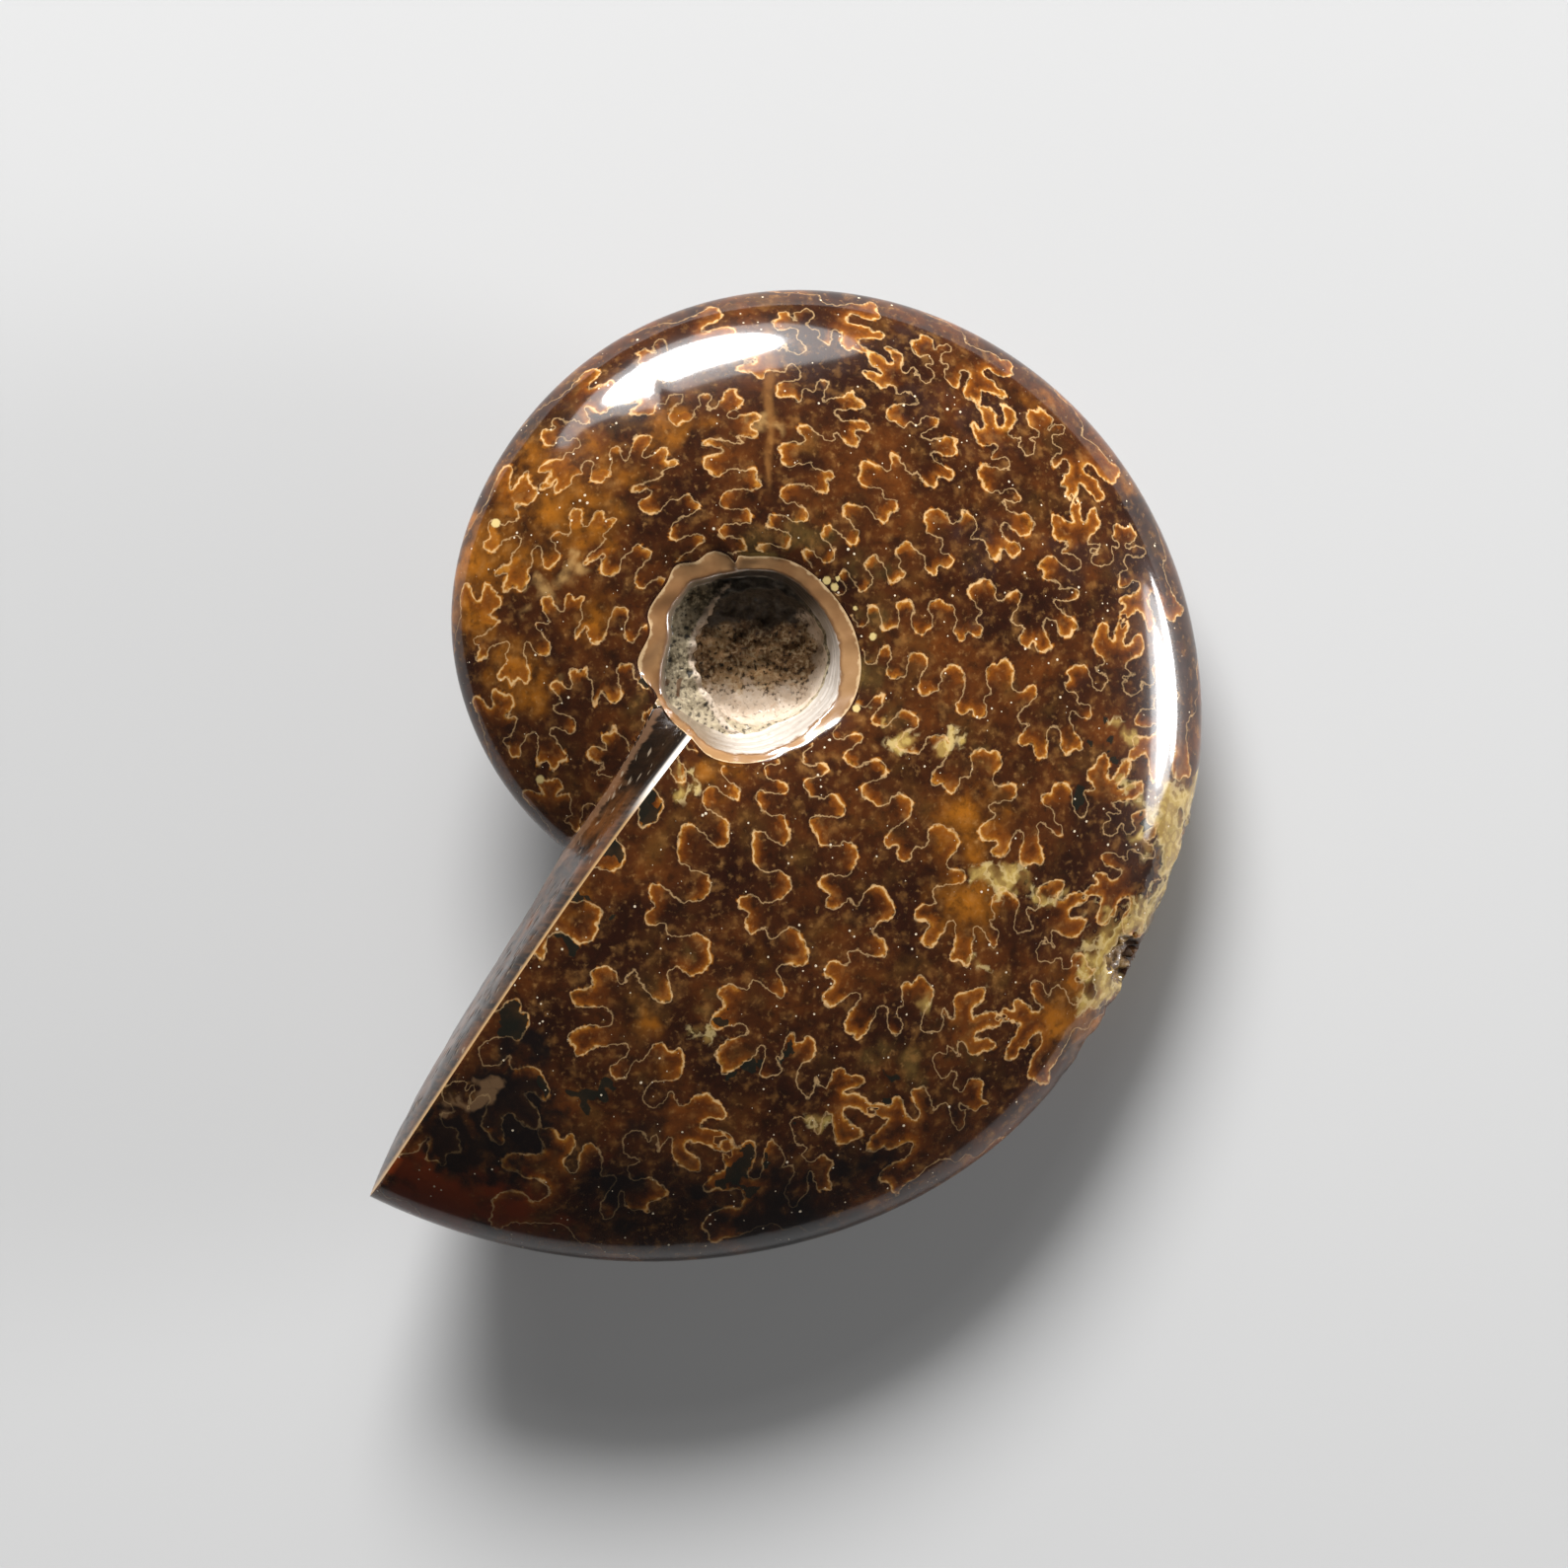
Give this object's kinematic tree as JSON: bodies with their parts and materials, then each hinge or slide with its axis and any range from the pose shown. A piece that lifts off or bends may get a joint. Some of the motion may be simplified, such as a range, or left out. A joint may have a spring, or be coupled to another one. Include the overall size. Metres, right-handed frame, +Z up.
{
  "type": "polished ammonite",
  "caption": "Polished fossil ammonite shell lying on its flank, with a deep umbilicus, a rounded end face and a chipped outer edge.",
  "frame": {"origin": "centre of the bounding box, on the surface that the shell lies on", "axes": "+Z up through the shell's flank, +Y towards the side opposite the end of the last whorl, as seen from above"},
  "size_m": [0.0522, 0.0608, 0.0181],
  "materials": {
    "polished_calcite": "polished brown calcite with pale suture lines"
  },
  "bodies": {
    "root": {"ammonite": "polished_calcite"}
  },
  "joints": []
}
